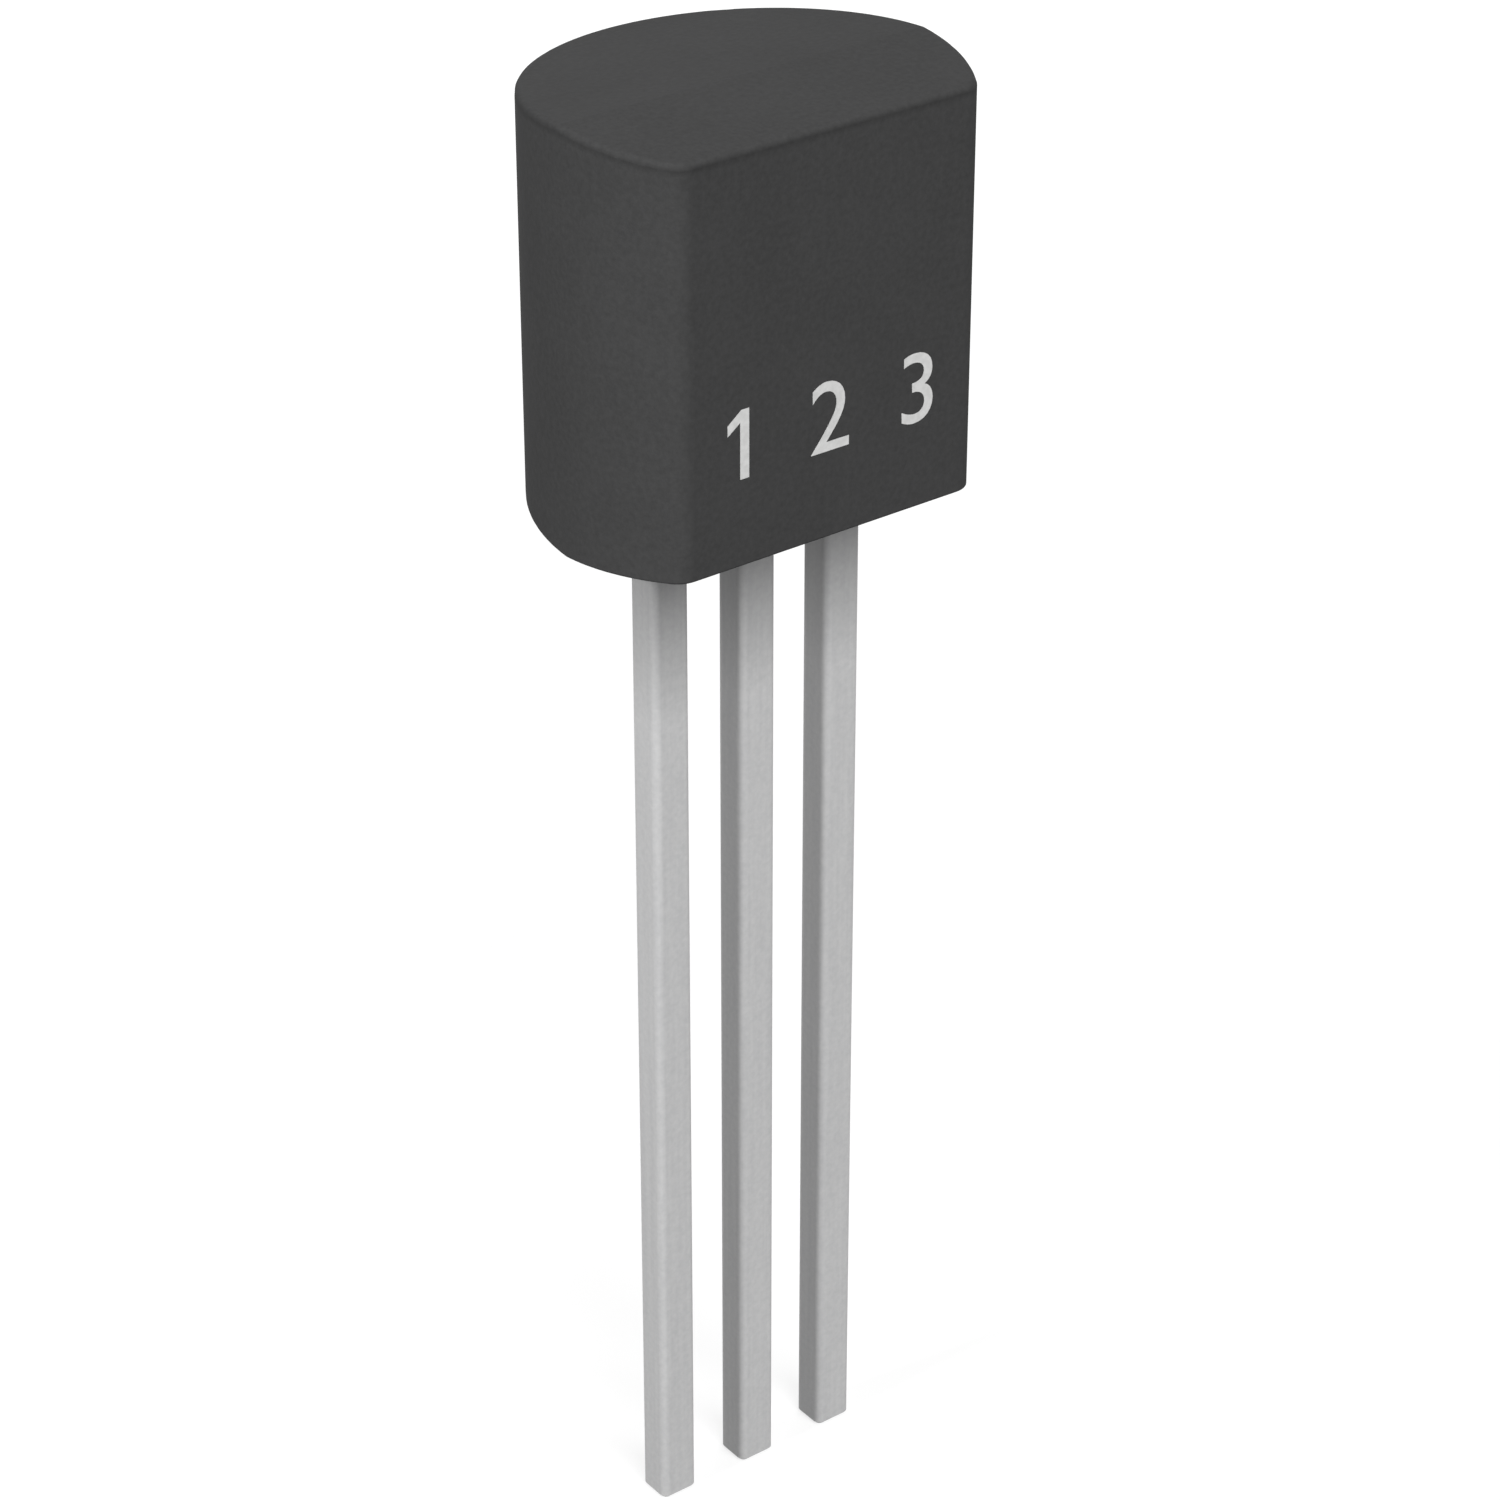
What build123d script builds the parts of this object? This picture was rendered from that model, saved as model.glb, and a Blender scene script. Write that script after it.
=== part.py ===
from build123d import *

import os
from math import radians, tan

# Three-lead transistor in a D-shaped moulded body (TO-92 outline).
# Millimetres. The origin lies on the centre lead's axis, level with the body's underside.
# +X runs along the row of leads from emitter to collector, +Z runs up from the lead tips
# into the body, and the flat front faces -Y. The lead frame lies in the XZ plane, which is
# also where the two halves of the mould meet.

# Leads
lead_pitch = 1.27
lead_width = 0.53  # along the row
lead_thickness = 0.49  # of the metal strip that the leads are stamped from
lead_length = 14.0  # from the body's underside to the tips
lead_edge_radius = 0.1  # along the four long edges
lead_tip_chamfer = 0.04  # round the cut end

# Moulded body
body_radius = 2.575  # of the round back and sides, about the centre lead's axis
flat_distance = 1.56  # from the lead plane to the flat front
body_height = 5.22  # at the lead plane, where the body is tallest
end_draft = 4.0  # degrees that the top and the underside fall away from the lead plane
top_edge_radius = 0.08  # round the rim of the top
underside_edge_radius = 0.03  # round the rim of the underside
front_corner_radius = 0.3  # of the two upright edges beside the flat front

# Mark that the mould's ejector pin leaves on the round back
ejector_mark_diameter = 1.2
ejector_mark_depth = 0.1

# Lead frame inside the body
post_start = 0.95  # height above the underside at which a lead widens into its post
post_shoulder = 0.12  # how much wider a post is than its lead, on each side
base_post_height = 0.75
emitter_post_height = 2.0
frame_gap = 0.4  # stamped gap between one piece of the frame and the next
cover_over_pad = 0.9  # moulding compound above the collector's pad
stamped_corner_radius = 0.1

# Silicon chip, bonded to the front of the collector's pad
chip_side = 0.5
chip_thickness = 0.2
chip_inset = 0.3  # from the pad's lower edge, and from its edge beside the emitter
bond_offset = 0.12  # from the chip's centre to each bond, along both sides of the chip

# Bond wires, each from a ball on the chip to a flattened stitch on a post
wire_diameter = 0.05
wire_loop_height = 0.2  # above the chip
wire_crest_length = 0.35  # level stretch at the top of the loop
wire_bend_radius = 0.1
ball_diameter = 0.12
ball_height = 0.04
stitch_diameter = 0.14
stitch_height = 0.025
stitch_inset = 0.35  # from a post's top edge

# Places worked out from the sizes above
half_thickness = lead_thickness / 2
frame_face = -half_thickness  # y of the frame's front face, which carries the chip
post_reach = lead_width / 2 + post_shoulder  # from a lead's axis to the edge of its post
base_post_top = post_start + base_post_height
emitter_post_top = post_start + emitter_post_height
pad_left = -lead_pitch + post_reach + frame_gap
pad_right = lead_pitch + post_reach
pad_bottom = base_post_top + frame_gap
pad_top = body_height - cover_over_pad
chip_x = pad_left + chip_inset + chip_side / 2
chip_z = pad_bottom + chip_inset + chip_side / 2
chip_face = frame_face - chip_thickness


def stamped_plate(left, right, bottom, top):
    """A flat piece of the strip with rounded corners, given by its edges in the XZ plane."""
    outline = RectangleRounded(right - left, top - bottom, stamped_corner_radius)
    placed = Plane.XZ * Pos((left + right) / 2, (bottom + top) / 2) * outline
    return extrude(placed, half_thickness, both=True)


def lead(x, plate):
    """A straight lead on the axis at x, from its cut tip up into the plate that it carries."""
    section = RectangleRounded(lead_width, lead_thickness, lead_edge_radius)
    tip = Pos(x, 0, -lead_length)
    stem_height = lead_length + post_start + stamped_corner_radius
    stem = tip * extrude(section, stem_height)
    tip_edges = stem.edges().group_by(Axis.Z)[0]
    return chamfer(tip_edges, lead_tip_chamfer) + plate


def post(x, top):
    return stamped_plate(x - post_reach, x + post_reach, post_start, top)


def collector_plate():
    """The pad for the chip, with the arm that brings it down to the collector's lead."""
    pad = stamped_plate(pad_left, pad_right, pad_bottom, pad_top)
    arm = post(lead_pitch, pad_bottom + 2 * stamped_corner_radius)
    return pad + arm


def silicon_chip():
    centre = Pos(chip_x, frame_face - chip_thickness / 2, chip_z)
    return centre * Box(chip_side, chip_thickness, chip_side)


def disc(x, y, z, diameter, height):
    """A round disc that stands out by its height, towards the front, from a face at y."""
    centre = Pos(x, y - height / 2, z) * Rot(X=90)
    return centre * Cylinder(diameter / 2, height)


def bond_wire(chip_end, post_end):
    """A wire looped between two bonds, each given by its (x, z) on the chip or the post."""
    start = Vector(chip_end[0], chip_face, chip_end[1])
    end = Vector(post_end[0], frame_face, post_end[1])
    crest_start = start - Vector(0, wire_loop_height, 0)
    run = Vector(end.X - start.X, 0, end.Z - start.Z).normalized()
    crest_end = crest_start + run * wire_crest_length
    path = FilletPolyline(start, crest_start, crest_end, end, radius=wire_bend_radius)
    section = Plane(start, z_dir=(0, -1, 0)) * Circle(wire_diameter / 2)
    wire = sweep(section, path)
    wire += disc(start.X, start.Y, start.Z, ball_diameter, ball_height)
    wire += disc(end.X, end.Y, end.Z, stitch_diameter, stitch_height)
    return wire


def moulded_blank():
    """The body before its rims are rounded: a truncated round with ends drafted both ways."""
    behind_flat = Pos(0, -flat_distance) * Rectangle(
        2 * body_radius,
        flat_distance + body_radius,
        align=(Align.CENTER, Align.MIN),
    )
    plan = Circle(body_radius) & behind_flat
    plan = fillet(plan.vertices(), front_corner_radius)
    tower = extrude(plan, body_height)
    slope = tan(radians(end_draft))
    front_fall = flat_distance * slope
    back_fall = body_radius * slope
    side_view = Polyline(
        (-flat_distance, front_fall),
        (0, 0),
        (body_radius, back_fall),
        (body_radius, body_height - back_fall),
        (0, body_height),
        (-flat_distance, body_height - front_fall),
        close=True,
    )
    drafted = extrude(Plane.YZ * make_face(side_view), body_radius, both=True)
    return tower & drafted


def ejector_mark():
    middle = body_height / 2
    return disc(0, body_radius, middle, ejector_mark_diameter, ejector_mark_depth)


def rounded_rim(half, top, radius):
    """A half of the body with the rim of its top, or of its underside, rounded."""
    parting_edges = half.edges().filter_by_position(Axis.Y, 0, 0)
    uprights = half.edges().filter_by(Axis.Z)
    rims = half.edges() - parting_edges - uprights
    rim = rims.filter_by(lambda edge: (edge.center().Z > body_height / 2) == top)
    return fillet(rim, radius)


def rounded_half(blank, side):
    """What one half of the mould shapes, with the rims of both its ends rounded."""
    half = split(blank, Plane.XZ, keep=side)
    half = rounded_rim(half, True, top_edge_radius)
    return rounded_rim(half, False, underside_edge_radius)


def rounded_body():
    """Both halves of the body, which leave a crisp ridge where they meet at the lead plane."""
    blank = moulded_blank()
    return rounded_half(blank, Keep.TOP) + rounded_half(blank, Keep.BOTTOM)


emitter_lead = lead(-lead_pitch, post(-lead_pitch, emitter_post_top))
base_lead = lead(0, post(0, base_post_top))
collector_lead = lead(lead_pitch, collector_plate())
chip = silicon_chip()
emitter_wire = bond_wire(
    (chip_x - bond_offset, chip_z + bond_offset),
    (-lead_pitch, emitter_post_top - stitch_inset),
)
base_wire = bond_wire(
    (chip_x + bond_offset, chip_z - bond_offset),
    (0, base_post_top - stitch_inset),
)

parts = {
    "emitter_lead": emitter_lead,
    "base_lead": base_lead,
    "collector_lead": collector_lead,
    "silicon_chip": chip,
    "emitter_bond_wire": emitter_wire - emitter_lead,
    "base_bond_wire": base_wire - base_lead,
}
moulded_body = rounded_body() - ejector_mark()
for embedded in parts.values():
    moulded_body -= embedded
parts["moulded_body"] = moulded_body

os.makedirs("parts", exist_ok=True)
for node, shape in parts.items():
    export_step(shape, f"parts/{node}.step")
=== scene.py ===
from math import cos, radians, sin

import bpy
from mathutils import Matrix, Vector

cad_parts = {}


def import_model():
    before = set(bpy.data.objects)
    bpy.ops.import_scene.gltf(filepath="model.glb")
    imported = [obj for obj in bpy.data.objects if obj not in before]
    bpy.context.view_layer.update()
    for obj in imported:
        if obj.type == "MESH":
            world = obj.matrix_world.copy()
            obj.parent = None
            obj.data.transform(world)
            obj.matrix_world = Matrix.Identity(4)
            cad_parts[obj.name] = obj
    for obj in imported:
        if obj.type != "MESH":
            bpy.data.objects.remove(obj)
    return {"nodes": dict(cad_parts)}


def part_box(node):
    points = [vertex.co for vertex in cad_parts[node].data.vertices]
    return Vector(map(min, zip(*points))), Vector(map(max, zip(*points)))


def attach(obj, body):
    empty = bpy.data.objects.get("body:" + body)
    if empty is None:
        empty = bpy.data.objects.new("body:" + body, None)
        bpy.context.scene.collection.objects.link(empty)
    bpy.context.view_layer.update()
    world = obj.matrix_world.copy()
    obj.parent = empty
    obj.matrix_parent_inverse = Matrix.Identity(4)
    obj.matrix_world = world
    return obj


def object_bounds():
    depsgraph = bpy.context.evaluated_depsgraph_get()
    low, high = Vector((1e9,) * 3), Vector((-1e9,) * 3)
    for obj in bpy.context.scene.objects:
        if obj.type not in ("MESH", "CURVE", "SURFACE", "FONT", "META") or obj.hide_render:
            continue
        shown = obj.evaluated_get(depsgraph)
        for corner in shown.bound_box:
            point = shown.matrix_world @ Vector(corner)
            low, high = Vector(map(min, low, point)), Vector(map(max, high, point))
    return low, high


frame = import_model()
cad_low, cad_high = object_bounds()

# Looks of a three-lead transistor in a D-shaped moulded body, around its CAD model.
# Metres. The flat front faces -Y, the leads run down from the body along Z to their tips.

MM = 0.001
LEADS = ("emitter_lead", "base_lead", "collector_lead")
BOND_WIRES = ("emitter_bond_wire", "base_bond_wire")

# Camera. An azimuth of 0 looks straight at the flat front, and a negative one is to its left.
CAMERA_AZIMUTH = -37.16
CAMERA_ELEVATION = 29.45
CAMERA_DISTANCE = 52.26 * MM
CAMERA_TARGET = Vector((0.051 * MM, 0, -3.408 * MM))
CAMERA_LENS = 103.89  # on the default 36 mm sensor
CAMERA_CLIP_START = MM
CAMERA_CLIP_END = 10

# Softboxes aimed at the body: azimuth and elevation in degrees, distance, width, power in watts
SOFTBOXES = {
    "front_softbox": (-5, 43, 250 * MM, 180 * MM, 0.775),
    "left_softbox": (-92, 25, 60 * MM, 12 * MM, 0.0267),
    "fill_softbox": (140, 10, 250 * MM, 200 * MM, 0.40),
}

# Surroundings. A strength of 1 is white.
WORLD_LIGHT = 0.12
FLOOR_WIDTH = 2.0
FLOOR_LIFT = 0.75  # strength seen near the object, which reaches white with the light there
FLOOR_NEAR = 20 * MM  # distance from the object at which that strength starts to rise
FLOOR_FAR = 80 * MM  # distance at which it is 1

# Colours are linear. Grain, cloud and lines are noise, given in cells to a metre.
WHITE = (1, 1, 1, 1)
BLACK = (0, 0, 0, 1)
FLOOR_GREY = (0.25, 0.25, 0.25, 1)
FINE_DETAIL = (3, 0.6)  # octaves of a fine grain, and each one's strength next to the last
GRAIN_RANGE = (0.3, 0.7)  # values over which a grain changes the roughness

# Moulding compound of the body
COMPOUND_DARK = (0.0432, 0.0432, 0.0435, 1)
COMPOUND_LIGHT = (0.0538, 0.0538, 0.0542, 1)
COMPOUND_SHADES = (0.45, 0.9)  # values of grain and cloud together that are dark and light
COMPOUND_GRAIN = 14000
COMPOUND_CLOUD = 900
COMPOUND_CLOUD_SHARE = 0.35
COMPOUND_ROUGHNESS = (0.85, 0.95)
COMPOUND_SPECULAR = 0.03
COMPOUND_BUMP = (0.25, 0.01 * MM)  # strength and height

# Tin plating of the leads
TIN_DARK = (0.425, 0.425, 0.43, 1)
TIN_LIGHT = (0.495, 0.495, 0.495, 1)
TIN_SHADES = (0.5, 1.0)  # values of grain and lines together that are dark and light
TIN_GRAIN = 15000
TIN_LINES = 16000
TIN_LINE_STRETCH = (1, 1, 0.03)  # scales that draw the lines out along the lead
TIN_LINE_SHARE = 0.5
TIN_METALLIC = 0.25
TIN_ROUGHNESS = (0.60, 0.68)
TIN_BUMP = (0.1, 0.005 * MM)  # strength and height

# Looks that have only a grain: dark and light colour, metallic, mean roughness, grain
GRAINED_LOOKS = {
    "silicon_look": ((0.15, 0.16, 0.19, 1), (0.18, 0.19, 0.22, 1), 0.6, 0.25, 20000),
    "bond_wire_look": ((0.80, 0.55, 0.19, 1), (0.88, 0.64, 0.25, 1), 1.0, 0.3, 40000),
    "print_look": ((0.53, 0.53, 0.525, 1), (0.60, 0.60, 0.595, 1), 0.0, 0.6, 15000),
}
GRAINED_SHADES = (0.35, 0.65)  # values of the grain that are dark and light
GRAINED_ROUGHNESS_SPREAD = 0.06  # on both sides of the mean

# Painted shade: a dark line painted round the body, just under the rim of its top
TOP_SLOPE = 0.07  # fall of the top away from the parting line, which runs along X at Y = 0
RIM_SHADE_DEPTH = 0.08 * MM
RIM_SHADE_REACH = 0.07 * MM  # from the line's middle to where it ends, on both sides
RIM_SHADE_STRENGTH = 0.2

# Painted shade on the leads just under the body: the tin colour darkens towards the body's
# underside
LEAD_SHADE_LENGTH = 2.5 * MM
LEAD_SHADE_STRENGTH = 0.5

# Pin numbers printed on the flat front, one above each lead
PRINT_THICKNESS = 0.004 * MM
NUMERAL_SIZE = 1.25 * MM
NUMERAL_HEIGHT = 1.2 * MM  # of the numerals' foot above the body's underside
NUMERAL_SEGMENTS = 6  # in each curved stretch of an outline
# Outline of the numeral 1, in numeral sizes. The built-in font has a plain bar for it.
ONE_OUTLINE = (
    (0.10, 0), (0.10, 0.682), (0.015, 0.682), (-0.14, 0.56), (-0.14, 0.455), (0, 0.56), (0, 0),
)


class Nodes:
    """A material's or the world's node tree, with short calls that add and join nodes."""

    def __init__(self, owner):
        owner.use_nodes = True
        self.tree = owner.node_tree
        self.tree.nodes.clear()

    def add(self, kind, inputs=None, **settings):
        node = self.tree.nodes.new(kind)
        for name, value in settings.items():
            setattr(node, name, value)
        for name, value in (inputs or {}).items():
            self.put(node.inputs[name], value)
        return node

    def put(self, socket, value):
        """Joins an output to the socket, or sets the socket's own value."""
        if isinstance(value, bpy.types.NodeSocket):
            self.tree.links.new(value, socket)
        else:
            socket.default_value = value

    def place(self, scale=(1, 1, 1)):
        """Object coordinates in metres, scaled along each axis."""
        inputs = {"Vector": self.add("ShaderNodeTexCoord").outputs["Object"], "Scale": scale}
        return self.add("ShaderNodeMapping", inputs).outputs["Vector"]

    def noise(self, where, per_metre, detail=2.0, roughness=0.5):
        inputs = {"Vector": where, "Scale": per_metre, "Detail": detail, "Roughness": roughness}
        return self.add("ShaderNodeTexNoise", inputs).outputs["Fac"]

    def math(self, operation, *values):
        inputs = dict(enumerate(values))
        return self.add("ShaderNodeMath", inputs, operation=operation).outputs[0]

    def mixture(self, main, other, share):
        """The main value plus a share of the other one."""
        return self.math("MULTIPLY_ADD", other, share, main)

    def remap(self, value, low, high, to_low, to_high):
        inputs = {"Value": value, "From Min": low, "From Max": high}
        inputs.update({"To Min": to_low, "To Max": to_high})
        return self.add("ShaderNodeMapRange", inputs).outputs["Result"]

    def ramp(self, value, low, high, dark, light):
        """A colour that goes from dark to light as the value goes from low to high."""
        node = self.add("ShaderNodeValToRGB", {"Fac": value})
        first, last = node.color_ramp.elements
        first.position, first.color = low, dark
        last.position, last.color = high, light
        return node.outputs["Color"]

    def blend(self, factor, first, second):
        """A colour that goes from the first to the second as the factor goes from 0 to 1."""
        node = self.add("ShaderNodeMix", data_type="RGBA")
        sockets = [socket for socket in node.inputs if socket.enabled]
        for socket, value in zip(sockets, (factor, first, second)):
            self.put(socket, value)
        return next(socket for socket in node.outputs if socket.enabled)

    def bump(self, height, strength, distance):
        inputs = {"Height": height, "Strength": strength, "Distance": distance}
        return self.add("ShaderNodeBump", inputs).outputs["Normal"]

    def seen(self):
        """1 for rays from the camera and for reflected and passed-on ones, 0 for the rest."""
        rays = self.add("ShaderNodeLightPath").outputs
        total = rays["Is Camera Ray"]
        for name in ("Is Glossy Ray", "Is Transmission Ray"):
            total = self.mixture(total, rays[name], 1)
        return total

    def principled(self, inputs):
        self.output("ShaderNodeOutputMaterial", self.add("ShaderNodeBsdfPrincipled", inputs))

    def output(self, kind, shader):
        self.put(self.add(kind).inputs["Surface"], shader.outputs[0])


def new_material(name):
    material = bpy.data.materials.new(name)
    return material, Nodes(material)


def painted_rim_shade(nodes):
    """How dark the painted shade line under the top's rim is at a point, and 0 away from the
    line.
    """
    place = nodes.add("ShaderNodeSeparateXYZ", {0: nodes.place()}).outputs
    height = nodes.mixture(place["Z"], nodes.math("ABSOLUTE", place["Y"]), TOP_SLOPE)
    off_line = nodes.math("SUBTRACT", height, cad_high.z - RIM_SHADE_DEPTH)
    return nodes.remap(nodes.math("ABSOLUTE", off_line), 0, RIM_SHADE_REACH, RIM_SHADE_STRENGTH, 0)


def compound_material():
    """Matte moulding compound: filler grain, faint cloudiness and a spark-eroded skin, with a
    line of painted shade under the top's rim.
    """
    material, nodes = new_material("moulding_compound_look")
    grain = nodes.noise(nodes.place(), COMPOUND_GRAIN, *FINE_DETAIL)
    cloud = nodes.noise(nodes.place(), COMPOUND_CLOUD)
    shade = nodes.mixture(grain, cloud, COMPOUND_CLOUD_SHARE)
    plain = nodes.ramp(shade, *COMPOUND_SHADES, COMPOUND_DARK, COMPOUND_LIGHT)
    nodes.principled({
        # The base colour is darkened towards black by the painted shade line under the top's rim
        "Base Color": nodes.blend(painted_rim_shade(nodes), plain, BLACK),
        "Roughness": nodes.remap(grain, *GRAIN_RANGE, *COMPOUND_ROUGHNESS),
        "Specular IOR Level": COMPOUND_SPECULAR,
        "Normal": nodes.bump(grain, *COMPOUND_BUMP),
    })
    return material


def tin_material():
    """Satin tin plating: fine grain, faint drawn lines along the lead, and painted shade that
    darkens the leads just under the body.
    """
    material, nodes = new_material("tinned_lead_look")
    lines = nodes.noise(nodes.place(TIN_LINE_STRETCH), TIN_LINES)
    grain = nodes.noise(nodes.place(), TIN_GRAIN, *FINE_DETAIL)
    shade = nodes.mixture(grain, lines, TIN_LINE_SHARE)
    bright = nodes.ramp(shade, *TIN_SHADES, TIN_DARK, TIN_LIGHT)
    height = nodes.add("ShaderNodeSeparateXYZ", {0: nodes.place()}).outputs["Z"]
    painted_lead_shade = nodes.remap(height, -LEAD_SHADE_LENGTH, 0, 0, LEAD_SHADE_STRENGTH)
    nodes.principled({
        # Painted shade: the tin colour is darkened towards black near the body's underside
        "Base Color": nodes.blend(painted_lead_shade, bright, BLACK),
        "Metallic": TIN_METALLIC,
        "Roughness": nodes.remap(grain, *GRAIN_RANGE, *TIN_ROUGHNESS),
        "Normal": nodes.bump(shade, *TIN_BUMP),
    })
    return material


def grained_material(name):
    """One of GRAINED_LOOKS, whose colour and roughness vary a little with the grain."""
    dark, light, metallic, roughness, per_metre = GRAINED_LOOKS[name]
    smoothest = roughness - GRAINED_ROUGHNESS_SPREAD
    roughest = roughness + GRAINED_ROUGHNESS_SPREAD
    material, nodes = new_material(name)
    grain = nodes.noise(nodes.place(), per_metre)
    nodes.principled({
        "Base Color": nodes.ramp(grain, *GRAINED_SHADES, dark, light),
        "Metallic": metallic,
        "Roughness": nodes.remap(grain, *GRAIN_RANGE, smoothest, roughest),
    })
    return material


def paint(node, material):
    for slot in frame["nodes"][node].material_slots:
        slot.material = material


def numeral_one():
    """The numeral 1 as a filled curve."""
    curve = bpy.data.curves.new("numeral", "CURVE")
    curve.dimensions = "2D"
    curve.fill_mode = "BOTH"
    outline = curve.splines.new("POLY")
    outline.points.add(len(ONE_OUTLINE) - 1)
    outline.use_cyclic_u = True
    for point, (x, y) in zip(outline.points, ONE_OUTLINE):
        point.co = (x * NUMERAL_SIZE, y * NUMERAL_SIZE, 0, 1)
    return curve


def numeral_typed(text):
    curve = bpy.data.curves.new("numeral", "FONT")
    curve.body = text
    curve.size = NUMERAL_SIZE
    curve.align_x = "CENTER"
    return curve


def printed(curve, x):
    """A numeral's curve as a thin mesh on the flat front, centred on x."""
    curve.extrude = PRINT_THICKNESS / 2
    curve.resolution_u = NUMERAL_SEGMENTS
    source = bpy.data.objects.new("numeral", curve)
    bpy.context.scene.collection.objects.link(source)
    source.location = (x, cad_low.y - PRINT_THICKNESS / 2, NUMERAL_HEIGHT)
    source.rotation_euler = (radians(90), 0, 0)
    bpy.context.view_layer.update()
    mesh = bpy.data.meshes.new_from_object(source)
    mesh.transform(source.matrix_world)
    bpy.data.objects.remove(source)
    piece = bpy.data.objects.new("numeral", mesh)
    bpy.context.scene.collection.objects.link(piece)
    return piece


def lead_positions():
    """The x of each lead's axis, in the order of LEADS.

    The last lead widens to one side inside the body, so its axis isn't the middle of its box.
    It is as far from the base lead as the emitter lead is.
    """
    emitter, base = (sum(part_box(lead), Vector()).x / 2 for lead in LEADS[:2])
    return emitter, base, 2 * base - emitter


def pin_numbers(ink):
    """The numerals 1, 2 and 3 above the leads, joined into one piece of print."""
    curves = (numeral_one(), numeral_typed("2"), numeral_typed("3"))
    numerals = [printed(curve, x) for curve, x in zip(curves, lead_positions())]
    bpy.ops.object.select_all(action="DESELECT")
    for piece in numerals:
        piece.select_set(True)
    bpy.context.view_layer.objects.active = numerals[0]
    bpy.ops.object.join()
    print_piece = numerals[0]
    print_piece.name = "pin_numbers"
    print_piece.data.materials.clear()
    print_piece.data.materials.append(ink)
    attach(print_piece, "root")


def floor():
    """A pale floor under the tips, which keeps the object's shadow and is seen as white."""
    bpy.ops.mesh.primitive_plane_add(size=FLOOR_WIDTH, location=(0, 0, cad_low.z))
    plane = bpy.context.object
    plane.name = "floor"
    material, nodes = new_material("floor_look")
    matte = nodes.add("ShaderNodeBsdfDiffuse", {"Color": FLOOR_GREY})
    away = nodes.add("ShaderNodeVectorMath", {0: nodes.place()}, operation="LENGTH")
    lift = nodes.remap(away.outputs["Value"], FLOOR_NEAR, FLOOR_FAR, FLOOR_LIFT, 1)
    strength = nodes.remap(nodes.seen(), 0, 1, 0, lift)
    glow = nodes.add("ShaderNodeEmission", {"Color": WHITE, "Strength": strength})
    both = nodes.add("ShaderNodeAddShader", {0: matte.outputs[0], 1: glow.outputs[0]})
    nodes.output("ShaderNodeOutputMaterial", both)
    plane.data.materials.append(material)


def world():
    """Even light all round, which is seen as plain white past the floor."""
    studio = bpy.data.worlds.new("studio")
    bpy.context.scene.world = studio
    nodes = Nodes(studio)
    strength = nodes.remap(nodes.seen(), 0, 1, WORLD_LIGHT, 1)
    back = nodes.add("ShaderNodeBackground", {"Color": WHITE, "Strength": strength})
    nodes.output("ShaderNodeOutputWorld", back)


def direction(azimuth, elevation):
    """The unit vector from the object towards a camera or lamp at those angles, in degrees."""
    across = radians(azimuth)
    up = radians(elevation)
    return Vector((sin(across) * cos(up), -cos(across) * cos(up), sin(up)))


def aimed(name, data, away, location):
    """A camera or lamp at the location, which faces against the direction away."""
    piece = bpy.data.objects.new(name, data)
    piece.location = location
    piece.rotation_mode = "QUATERNION"
    piece.rotation_quaternion = away.to_track_quat("Z", "Y")
    bpy.context.scene.collection.objects.link(piece)
    return piece


def softbox(name, azimuth, elevation, distance, width, power):
    light = bpy.data.lights.new(name, "AREA")
    light.shape = "SQUARE"
    light.size = width
    light.energy = power
    away = direction(azimuth, elevation)
    aimed(name, light, away, away * distance)


def camera():
    data = bpy.data.cameras.new("camera")
    data.lens = CAMERA_LENS
    data.clip_start = CAMERA_CLIP_START
    data.clip_end = CAMERA_CLIP_END
    away = direction(CAMERA_AZIMUTH, CAMERA_ELEVATION)
    bpy.context.scene.camera = aimed("camera", data, away, CAMERA_TARGET + away * CAMERA_DISTANCE)


paint("moulded_body", compound_material())
tin = tin_material()
for lead in LEADS:
    paint(lead, tin)
paint("silicon_chip", grained_material("silicon_look"))
gold = grained_material("bond_wire_look")
for wire in BOND_WIRES:
    paint(wire, gold)
pin_numbers(grained_material("print_look"))

floor()
world()
for name, setting in SOFTBOXES.items():
    softbox(name, *setting)
camera()
bpy.context.scene.view_settings.view_transform = "Standard"
